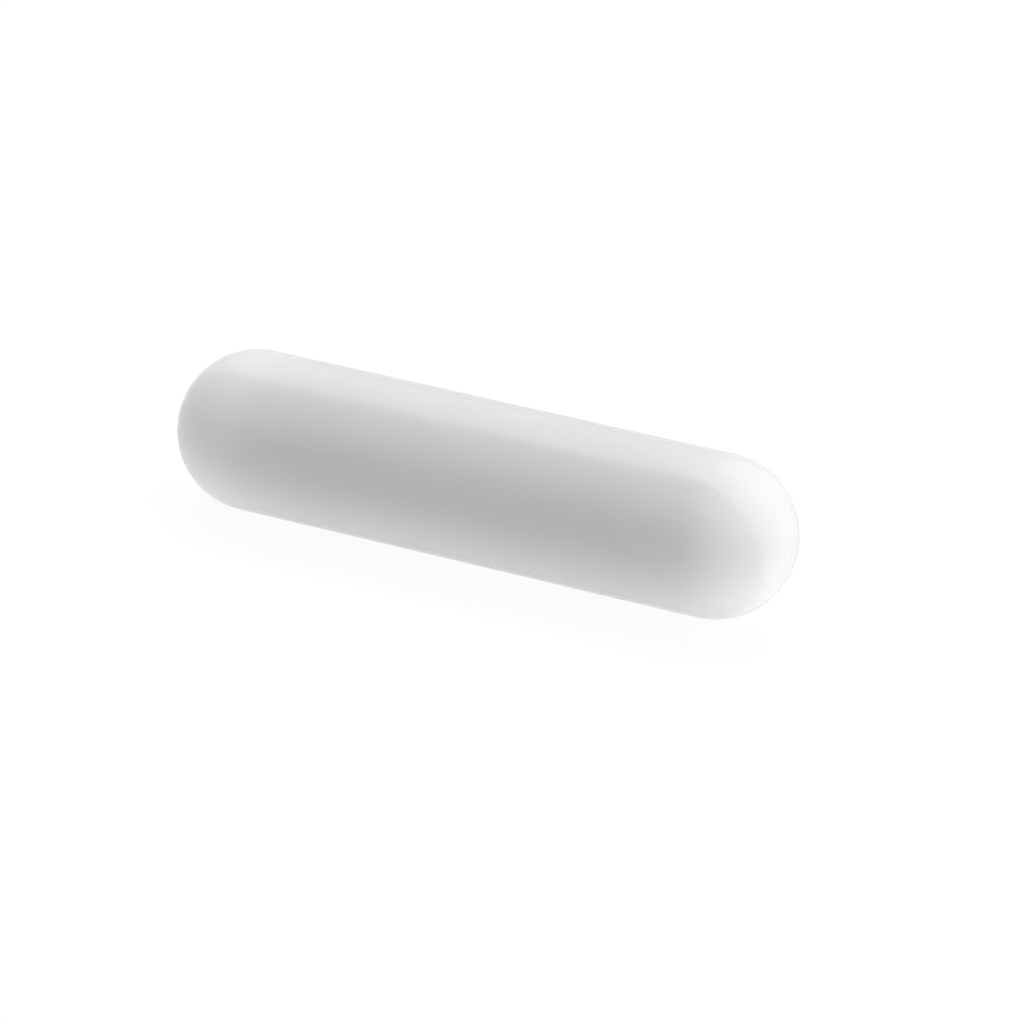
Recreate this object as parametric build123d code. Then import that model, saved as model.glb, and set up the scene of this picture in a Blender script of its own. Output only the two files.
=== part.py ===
from build123d import *

import os

# A plain magnetic stir bar: a ground alnico rod sealed inside a moulded PTFE jacket.
# The jacket is a round barrel whose two ends are hemispheres, so it spins freely on a vessel's floor.
# PTFE powder is pressed round the magnet and sintered, so the jacket is one piece that grips the rod
# all over, with no joint and no way in.
#
# Millimetres. The origin is the bar's centre, the point it spins about. +X is the bar's axis and +Z is up.

BAR_LENGTH = 38.1  # tip to tip, 1 1/2 in
BAR_DIAMETER = 9.525  # over the barrel, 3/8 in
SIDE_WALL = 1.5875  # PTFE between the magnet's side and the barrel, 1/16 in
END_COVER = 4.7625  # PTFE between the magnet's end face and the tip, 3/16 in
MAGNET_CHAMFER = 0.35  # ground edge at each end of the rod, which spares the PTFE a sharp corner
CAVITY_CLEARANCE = 0.0  # gap round the magnet: none, because the PTFE shrinks onto it as it cools

MAGNET_LENGTH = BAR_LENGTH - 2 * END_COVER
MAGNET_DIAMETER = BAR_DIAMETER - 2 * SIDE_WALL


def capsule(length, diameter):
    """A solid barrel along X with hemispherical ends, turned from half of its section."""
    radius = diameter / 2
    dome_centre = length / 2 - radius
    with BuildSketch() as half_section:
        with BuildLine():
            Line((-dome_centre, radius), (dome_centre, radius))
            CenterArc((dome_centre, 0), radius, start_angle=0, arc_size=90)
            Line((dome_centre + radius, 0), (-dome_centre - radius, 0))
            CenterArc((-dome_centre, 0), radius, start_angle=90, arc_size=90)
        make_face()
    return revolve(half_section.sketch, axis=Axis.X)


def chamfered_rod(length, diameter, edge):
    """A solid cylinder along X whose two end edges are chamfered at 45 degrees."""
    blank = Plane.YZ * Cylinder(radius=diameter / 2, height=length)
    return chamfer(blank.edges().filter_by(GeomType.CIRCLE), edge)


def bar_magnet():
    """The alnico rod, magnetised along its length, in the middle of the jacket."""
    return chamfered_rod(MAGNET_LENGTH, MAGNET_DIAMETER, MAGNET_CHAMFER)


def ptfe_jacket():
    """The moulded jacket: the whole outer form, less a closed cavity that fits the magnet."""
    cavity = chamfered_rod(
        MAGNET_LENGTH + 2 * CAVITY_CLEARANCE,
        MAGNET_DIAMETER + 2 * CAVITY_CLEARANCE,
        MAGNET_CHAMFER,
    )
    return capsule(BAR_LENGTH, BAR_DIAMETER) - cavity


os.makedirs("parts", exist_ok=True)
export_step(ptfe_jacket(), "parts/ptfe_jacket.step")
export_step(bar_magnet(), "parts/bar_magnet.step")
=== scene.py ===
import math

import bmesh
import bpy
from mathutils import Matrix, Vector, noise


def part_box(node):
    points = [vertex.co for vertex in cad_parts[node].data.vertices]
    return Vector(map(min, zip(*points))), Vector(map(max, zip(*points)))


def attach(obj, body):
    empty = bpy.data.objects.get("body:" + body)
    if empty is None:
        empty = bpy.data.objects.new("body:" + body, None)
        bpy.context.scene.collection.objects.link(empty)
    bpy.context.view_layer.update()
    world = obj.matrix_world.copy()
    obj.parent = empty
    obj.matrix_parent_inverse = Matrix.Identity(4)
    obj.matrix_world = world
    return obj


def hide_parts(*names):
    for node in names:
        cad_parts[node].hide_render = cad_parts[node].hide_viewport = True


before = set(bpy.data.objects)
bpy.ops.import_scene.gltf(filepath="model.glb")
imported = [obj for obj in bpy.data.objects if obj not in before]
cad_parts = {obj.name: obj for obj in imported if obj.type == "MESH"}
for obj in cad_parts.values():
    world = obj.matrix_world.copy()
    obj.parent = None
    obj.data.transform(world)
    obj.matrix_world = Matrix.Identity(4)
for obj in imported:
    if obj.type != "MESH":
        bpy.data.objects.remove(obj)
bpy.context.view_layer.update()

# ---- The bar magnet -------------------------------------------------------------------------------
# A rod of cast alnico, magnetised along its length and ground round to size between two wheels.
# The jacket hides it for good. Its surface is grey metal with fine rings left by the grinding.

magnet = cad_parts["bar_magnet"]
magnet_low, magnet_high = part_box("bar_magnet")

GRIND_PITCH = 0.00012  # from one grinding ring to the next
GRIND_STREAK = 1 / 120  # how far round the rod a ring goes before its shade changes
GRIND_DEPTH = 0.000004
GRIND_STRENGTH = 0.6
ALNICO_DARK = (0.21, 0.205, 0.20, 1.0)
ALNICO_LIGHT = (0.36, 0.35, 0.34, 1.0)
ALNICO_ROUGHNESS = (0.28, 0.46)
NOISE_SPAN = (0.3, 0.7)  # nearly all of a noise texture's values lie between these


def noise_field(tree, vector, scale, detail):
    """Adds a noise texture, read at the places that vector gives, and returns its value."""
    texture = tree.nodes.new("ShaderNodeTexNoise")
    texture.inputs["Scale"].default_value = scale
    texture.inputs["Detail"].default_value = detail
    tree.links.new(vector, texture.inputs["Vector"])
    return texture.outputs["Fac"]


def spread(tree, value, taken, given, curve="LINEAR"):
    """Adds a map range from one pair of values to another, and returns its result."""
    stretch = tree.nodes.new("ShaderNodeMapRange")
    stretch.interpolation_type = curve
    stretch.inputs["From Min"].default_value, stretch.inputs["From Max"].default_value = taken
    stretch.inputs["To Min"].default_value, stretch.inputs["To Max"].default_value = given
    tree.links.new(value, stretch.inputs["Value"])
    return stretch.outputs["Result"]


def relief(tree, height, depth, strength, under=None):
    """Adds a bump of that depth, over another one if it is given, and returns its normal."""
    bump = tree.nodes.new("ShaderNodeBump")
    bump.inputs["Distance"].default_value = depth
    bump.inputs["Strength"].default_value = strength
    tree.links.new(height, bump.inputs["Height"])
    if under is not None:
        tree.links.new(under, bump.inputs["Normal"])
    return bump.outputs["Normal"]


def colour_ramp(tree, value, taken, first, last):
    """Adds a ramp from the first colour to the last over a pair of values, and returns its colour."""
    ramp = tree.nodes.new("ShaderNodeValToRGB")
    for stop, position, colour in zip(ramp.color_ramp.elements, taken, (first, last)):
        stop.position = position
        stop.color = colour
    tree.links.new(value, ramp.inputs["Fac"])
    return ramp.outputs["Color"]


alnico = bpy.data.materials.new("ground_alnico")
alnico.use_nodes = True
tree = alnico.node_tree
surface = tree.nodes["Principled BSDF"]
surface.inputs["Metallic"].default_value = 1.0

place = tree.nodes.new("ShaderNodeTexCoord")
squeeze = tree.nodes.new("ShaderNodeMapping")  # short along the rod and long round it: the noise is rings
squeeze.inputs["Scale"].default_value = (1 / GRIND_PITCH, 1 / GRIND_STREAK, 1 / GRIND_STREAK)
tree.links.new(place.outputs["Object"], squeeze.inputs["Vector"])
rings = noise_field(tree, squeeze.outputs["Vector"], scale=1.0, detail=3.0)

shade = colour_ramp(tree, rings, NOISE_SPAN, ALNICO_DARK, ALNICO_LIGHT)
tree.links.new(shade, surface.inputs["Base Color"])
polish = spread(tree, rings, (0.0, 1.0), ALNICO_ROUGHNESS)
tree.links.new(polish, surface.inputs["Roughness"])
grooves = relief(tree, rings, GRIND_DEPTH, GRIND_STRENGTH)
tree.links.new(grooves, surface.inputs["Normal"])

magnet.data.materials.clear()
magnet.data.materials.append(alnico)

# ---- The jacket -----------------------------------------------------------------------------------
# One seamless skin of PTFE, pressed as powder round the magnet and sintered until it flows together.
# It comes from the oven smooth, waxy and white. Inside is a closed space that the magnet fills.

jacket_low, jacket_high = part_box("ptfe_jacket")
BARREL_RADIUS = (jacket_high.z - jacket_low.z) / 2
TIP = (jacket_high.x - jacket_low.x) / 2
DOME_CENTRE = TIP - BARREL_RADIUS  # the barrel is straight from one of these to the other
CAVITY_RADIUS = (magnet_high.z - magnet_low.z) / 2
CAVITY_END = (magnet_high.x - magnet_low.x) / 2
CAVITY_CHAMFER = 0.00035

ROUND_STEPS = 160  # faces round the bar
BARREL_STEPS = 90  # rings along the straight part
CAVITY_STEPS = 30  # rings along the space for the magnet
DOME_STEPS = 40  # rings from the barrel to each tip
SKIN_WAVE = 0.000007  # how far the sintered skin wanders from a true round
SKIN_WAVE_SPAN = 0.0085  # how long one such wave is
SKIN_WAVE_INWARD = 0.5  # the wander is this share further inward, so that the skin keeps within its size


def outer_section():
    """Points (along, out) of the jacket's outline from one tip to the other, both tips left out."""
    points = []
    for i in range(1, DOME_STEPS + 1):
        turn = math.pi / 2 * i / DOME_STEPS
        points.append((-DOME_CENTRE - BARREL_RADIUS * math.cos(turn), BARREL_RADIUS * math.sin(turn)))
    for i in range(1, BARREL_STEPS):
        points.append((-DOME_CENTRE + 2 * DOME_CENTRE * i / BARREL_STEPS, BARREL_RADIUS))
    for i in range(DOME_STEPS):
        turn = math.pi / 2 * i / DOME_STEPS
        points.append((DOME_CENTRE + BARREL_RADIUS * math.sin(turn), BARREL_RADIUS * math.cos(turn)))
    return points


def cavity_section():
    """Points (along, out) of the space for the magnet, with its two chamfers."""
    flat = CAVITY_RADIUS - CAVITY_CHAMFER
    straight = CAVITY_END - CAVITY_CHAMFER
    points = [(-CAVITY_END, flat)]
    for i in range(CAVITY_STEPS + 1):
        points.append((-straight + 2 * straight * i / CAVITY_STEPS, CAVITY_RADIUS))
    points.append((CAVITY_END, flat))
    return points


def turned_skin(mesh, section, first_tip, last_tip, inward):
    """Turns a section about X into a closed skin of quads with a fan at each tip."""
    hoops = []
    for along, out in section:
        hoop = []
        for i in range(ROUND_STEPS):
            turn = 2 * math.pi * i / ROUND_STEPS
            hoop.append(mesh.verts.new((along, out * math.cos(turn), out * math.sin(turn))))
        hoops.append(hoop)
    tips = [mesh.verts.new((first_tip, 0, 0)), mesh.verts.new((last_tip, 0, 0))]
    faces = []
    for i in range(ROUND_STEPS):
        j = (i + 1) % ROUND_STEPS
        faces.append((tips[0], hoops[0][j], hoops[0][i]))
        for a, b in zip(hoops, hoops[1:]):
            faces.append((a[i], a[j], b[j], b[i]))
        faces.append((tips[1], hoops[-1][i], hoops[-1][j]))
    for corners in faces:
        face = mesh.faces.new(corners[::-1] if inward else corners)
        face.smooth = True


def let_skin_wander(mesh):
    """Moves the outer skin in or out by a few thousandths of a millimetre, as sintering leaves it."""
    for vert in mesh.verts:
        axis_point = Vector((max(-DOME_CENTRE, min(DOME_CENTRE, vert.co.x)), 0, 0))
        out = (vert.co - axis_point).normalized()
        vert.co += out * SKIN_WAVE * (noise.noise(vert.co / SKIN_WAVE_SPAN) - SKIN_WAVE_INWARD)


jacket_form = bmesh.new()
turned_skin(jacket_form, outer_section(), -TIP, TIP, inward=False)
let_skin_wander(jacket_form)
turned_skin(jacket_form, cavity_section(), -CAVITY_END, CAVITY_END, inward=True)
jacket_mesh = bpy.data.meshes.new("ptfe_jacket_skin")
jacket_form.to_mesh(jacket_mesh)
jacket_form.free()
jacket = bpy.data.objects.new("ptfe_jacket_skin", jacket_mesh)
bpy.context.scene.collection.objects.link(jacket)

PTFE_WHITE = (0.885, 0.897, 0.915, 1.0)  # the solid domes, and the painted glow that leads up to them
PTFE_OVER_MAGNET = (0.795, 0.807, 0.825, 1.0)  # the thin wall, where the grey magnet tells a little
PAINTED_GLOW_FROM = CAVITY_END - 0.006  # painted glow: the thin wall's colour turns into the dome's from here, 6 mm short of the magnet's end, standing in for light that the solid domes let in ...
WHITER_TO = CAVITY_END + 0.001  # ... to here
CLOUD_SHARE = 0.10  # how much of that step the milky clouds in the wall make by themselves
CLOUD_SPAN = (0.25, 0.75)
CLOUD_SCALE = 170.0
PTFE_IOR = 1.35
PTFE_ROUGHNESS = (0.15, 0.20)
LIGHT_REACH = 0.004  # how far light goes inside the solid PTFE
PEEL_SCALE = 380.0  # the slower unevenness of the pressed skin
PEEL_DEPTH = 0.000003
GRAIN_SCALE = 3200.0  # powder grains that have run together
GRAIN_DEPTH = 0.0000004
SKIN_STRENGTH = 0.5

ptfe = bpy.data.materials.new("sintered_ptfe")
ptfe.use_nodes = True
tree = ptfe.node_tree
surface = tree.nodes["Principled BSDF"]
surface.inputs["IOR"].default_value = PTFE_IOR
surface.inputs["Subsurface Weight"].default_value = 1.0
surface.inputs["Subsurface Radius"].default_value = (1.0, 1.0, 1.0)  # every colour goes equally far
surface.inputs["Subsurface Scale"].default_value = LIGHT_REACH
place = tree.nodes.new("ShaderNodeTexCoord")

clouds = noise_field(tree, place.outputs["Object"], CLOUD_SCALE, detail=1.0)
faint_clouds = spread(tree, clouds, CLOUD_SPAN, (0.0, CLOUD_SHARE))
along = tree.nodes.new("ShaderNodeSeparateXYZ")
tree.links.new(place.outputs["Object"], along.inputs["Vector"])
from_middle = tree.nodes.new("ShaderNodeMath")
from_middle.operation = "ABSOLUTE"
tree.links.new(along.outputs["X"], from_middle.inputs[0])
# Whiter towards both ends. The solid domes really are whiter, with no grey magnet behind them. The
# whitening that starts 6 mm short of the magnet's end is painted glow, standing in for light that the lit
# domes carry into the wall.
magnet_end_and_painted_glow = spread(
    tree, from_middle.outputs["Value"], (PAINTED_GLOW_FROM, WHITER_TO), (0.0, 1.0 - CLOUD_SHARE), "SMOOTHSTEP"
)
milkiness_and_painted_glow = tree.nodes.new("ShaderNodeMath")
milkiness_and_painted_glow.operation = "ADD"
tree.links.new(magnet_end_and_painted_glow, milkiness_and_painted_glow.inputs[0])
tree.links.new(faint_clouds, milkiness_and_painted_glow.inputs[1])
body_colour = colour_ramp(tree, milkiness_and_painted_glow.outputs["Value"], (0.0, 1.0), PTFE_OVER_MAGNET, PTFE_WHITE)
tree.links.new(body_colour, surface.inputs["Base Color"])

peel = noise_field(tree, place.outputs["Object"], PEEL_SCALE, detail=1.0)
grain = noise_field(tree, place.outputs["Object"], GRAIN_SCALE, detail=3.0)
satin = spread(tree, peel, NOISE_SPAN, PTFE_ROUGHNESS)
tree.links.new(satin, surface.inputs["Roughness"])
slow_relief = relief(tree, peel, PEEL_DEPTH, SKIN_STRENGTH)
fine_relief = relief(tree, grain, GRAIN_DEPTH, SKIN_STRENGTH, under=slow_relief)
tree.links.new(fine_relief, surface.inputs["Normal"])
jacket_mesh.materials.append(ptfe)

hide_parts("ptfe_jacket")
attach(jacket, "root")

# ---- The bench ------------------------------------------------------------------------------------
# A table covered in matt white paper and lit a little from below, which reaches the bar's underside.
# The bar lies on it along one line of its barrel, as it does in a dish.

FLOOR_SIDE = 3.0
WHITE = (1.0, 1.0, 1.0, 1.0)
PAPER_WHITE = (0.85, 0.85, 0.85, 1.0)
PAPER_ROUGHNESS = 0.9
PAPER_GLOSS = 0.1
TABLE_GLOW = 0.37
WHITE_BY_BAR = 0.85  # the rest of what is seen there is the lit paper, which keeps the bar's faint shadow
SHADOW_REACH = (0.05, 0.15)  # from the first to the second distance the table turns plain white

floor_mesh = bpy.data.meshes.new("white_bench")
half = FLOOR_SIDE / 2
corners = [(-half, -half, 0), (half, -half, 0), (half, half, 0), (-half, half, 0)]
floor_mesh.from_pydata(corners, [], [(0, 1, 2, 3)])
floor = bpy.data.objects.new("white_bench", floor_mesh)
floor.location.z = jacket_low.z
floor.visible_glossy = False  # the bar's gloss shows the room's softbox, below the table's level too
bpy.context.scene.collection.objects.link(floor)

paper = bpy.data.materials.new("white_paper")
paper.use_nodes = True
tree = paper.node_tree
matt = tree.nodes["Principled BSDF"]
matt.inputs["Base Color"].default_value = PAPER_WHITE
matt.inputs["Roughness"].default_value = PAPER_ROUGHNESS
matt.inputs["Specular IOR Level"].default_value = PAPER_GLOSS
matt.inputs["Emission Color"].default_value = WHITE
matt.inputs["Emission Strength"].default_value = TABLE_GLOW

place = tree.nodes.new("ShaderNodeTexCoord")
from_bar = tree.nodes.new("ShaderNodeVectorMath")
from_bar.operation = "LENGTH"
tree.links.new(place.outputs["Object"], from_bar.inputs[0])
plain = spread(tree, from_bar.outputs["Value"], SHADOW_REACH, (WHITE_BY_BAR, 1.0), "SMOOTHSTEP")
rays = tree.nodes.new("ShaderNodeLightPath")
share = tree.nodes.new("ShaderNodeMath")
share.operation = "MULTIPLY"
tree.links.new(rays.outputs["Is Camera Ray"], share.inputs[0])
tree.links.new(plain, share.inputs[1])
plain_white = tree.nodes.new("ShaderNodeEmission")
blend = tree.nodes.new("ShaderNodeMixShader")
tree.links.new(share.outputs["Value"], blend.inputs["Fac"])
tree.links.new(matt.outputs["BSDF"], blend.inputs[1])
tree.links.new(plain_white.outputs["Emission"], blend.inputs[2])
tree.links.new(blend.outputs["Shader"], tree.nodes["Material Output"].inputs["Surface"])
floor_mesh.materials.append(paper)

# ---- The room -------------------------------------------------------------------------------------
# A white tent. Its back, from near overhead down to the foot of the far wall, is one broad softbox that
# fades towards that foot, and the bar's gloss shows the softbox's front edge as a soft step of tone.
# Five lamps behind the tent's walls light the bar and don't show in its gloss.

FILL = 0.03  # how bright the tent is as light on the bar, beside its lamps
TENT_WHITE = 0.8  # how bright it is in the bar's gloss
SOFTBOX_WHITE = 3.8
FOOT_WHITE = 0.85
SOFTBOX_SIDE = Vector((0.373, 0.918, 0.134)).normalized()  # the softbox is all that lies this way ...
SOFTBOX_EDGE = (0.21, 0.30)  # ... past a soft edge between these two
FAR_FOOT = Vector((-0.323, 0.769, -0.552))  # the way to the foot of the far wall
FADE_POWER = 1.5


def measured_along(tree, vector, direction):
    """Adds a dot product with a fixed direction, and returns its value."""
    product = tree.nodes.new("ShaderNodeVectorMath")
    product.operation = "DOT_PRODUCT"
    product.inputs[1].default_value = direction
    tree.links.new(vector, product.inputs[0])
    return product.outputs["Value"]


def plain_background(tree):
    """Adds a white background of strength 1."""
    background = tree.nodes.new("ShaderNodeBackground")
    background.inputs["Color"].default_value = WHITE
    return background


def switched(tree, switch, otherwise, chosen):
    """Adds a mix of two shaders that shows the second where the switch is 1, and returns its shader."""
    mix = tree.nodes.new("ShaderNodeMixShader")
    tree.links.new(switch, mix.inputs["Fac"])
    tree.links.new(otherwise, mix.inputs[1])
    tree.links.new(chosen, mix.inputs[2])
    return mix.outputs["Shader"]


room = bpy.data.worlds.new("studio")
room.use_nodes = True
bpy.context.scene.world = room
tree = room.node_tree
fill = tree.nodes["Background"]
fill.inputs["Color"].default_value = WHITE
fill.inputs["Strength"].default_value = FILL

ray_way = tree.nodes.new("ShaderNodeTexCoord").outputs["Generated"]
beyond_edge = measured_along(tree, ray_way, SOFTBOX_SIDE)
in_softbox = spread(tree, beyond_edge, SOFTBOX_EDGE, (0.0, 1.0), "SMOOTHSTEP")
towards_foot = measured_along(tree, ray_way, FAR_FOOT)
above_foot = spread(tree, towards_foot, (0.0, 1.0), (1.0, 0.0))
fade = tree.nodes.new("ShaderNodeMath")
fade.operation = "POWER"
fade.inputs[1].default_value = FADE_POWER
tree.links.new(above_foot, fade.inputs[0])
softbox = tree.nodes.new("ShaderNodeMix")
softbox.inputs["A"].default_value = FOOT_WHITE
softbox.inputs["B"].default_value = SOFTBOX_WHITE
tree.links.new(fade.outputs["Value"], softbox.inputs["Factor"])
reflected = tree.nodes.new("ShaderNodeMix")
reflected.inputs["A"].default_value = TENT_WHITE
tree.links.new(in_softbox, reflected.inputs["Factor"])
tree.links.new(softbox.outputs["Result"], reflected.inputs["B"])
tent = plain_background(tree)
tree.links.new(reflected.outputs["Result"], tent.inputs["Strength"])
backdrop = plain_background(tree)

rays = tree.nodes.new("ShaderNodeLightPath")
lit = switched(tree, rays.outputs["Is Glossy Ray"], fill.outputs["Background"], tent.outputs["Background"])
seen = switched(tree, rays.outputs["Is Camera Ray"], lit, backdrop.outputs["Background"])
tree.links.new(seen, tree.nodes["World Output"].inputs["Surface"])

# Each lamp: its name, where it stands (azimuth, elevation), how wide and high it looks from the bar
# in degrees, and its brightness against plain white.
LAMPS = (
    ("low_front", 52.8, 12, 28, 20, 0.5),
    ("mid_right", 82.8, 34, 28, 28, 4.5),
    ("top_right", 142.8, 64, 26, 24, 4.6),
    ("top_back", 202.8, 64, 26, 24, 4.2),
    ("top_left", 262.8, 64, 26, 24, 4.1),
)
LAMP_DISTANCE = 1.0


def way_out(azimuth, elevation):
    """The direction from the bar to a place, in degrees to the right of its front and above it."""
    turn, rise = math.radians(azimuth), math.radians(elevation)
    return Vector((math.sin(turn) * math.cos(rise), -math.cos(turn) * math.cos(rise), math.sin(rise)))


def stand(thing, away, distance, aim):
    """Puts a lamp or a camera out that way from the point it aims at, facing that point."""
    thing.location = aim + away * distance
    thing.rotation_euler = away.to_track_quat("Z", "Y").to_euler()
    bpy.context.scene.collection.objects.link(thing)


for name, azimuth, elevation, wide, high, brightness in LAMPS:
    panel = bpy.data.lights.new(name, "AREA")
    panel.shape = "RECTANGLE"
    panel.size = 2 * LAMP_DISTANCE * math.tan(math.radians(wide) / 2)
    panel.size_y = 2 * LAMP_DISTANCE * math.tan(math.radians(high) / 2)
    panel.energy = math.pi * panel.size * panel.size_y * brightness
    lamp = bpy.data.objects.new(name, panel)
    lamp.visible_camera = False
    lamp.visible_glossy = False
    stand(lamp, way_out(azimuth, elevation), LAMP_DISTANCE, aim=Vector((0, 0, 0)))

# ---- The camera -----------------------------------------------------------------------------------
# It looks down on the bar from the front and a little from its right end, from close by, so that the
# near end looks slightly larger. It aims just below and to the right of the bar's middle.

AZIMUTH = 22.8
ELEVATION = 33.5
DISTANCE = 0.273
FIELD_OF_VIEW = 12.32
NEAREST_SEEN = 0.01
AIM_RIGHT = 0.00165
AIM_DOWN = 0.00172

back = way_out(AZIMUTH, ELEVATION)
right = Vector((math.cos(math.radians(AZIMUTH)), math.sin(math.radians(AZIMUTH)), 0))
up = back.cross(right)

lens = bpy.data.cameras.new("camera")
lens.angle = math.radians(FIELD_OF_VIEW)
lens.clip_start = NEAREST_SEEN
camera = bpy.data.objects.new("camera", lens)
stand(camera, back, DISTANCE, aim=right * AIM_RIGHT - up * AIM_DOWN)
bpy.context.scene.camera = camera
bpy.context.scene.view_settings.view_transform = "Standard"
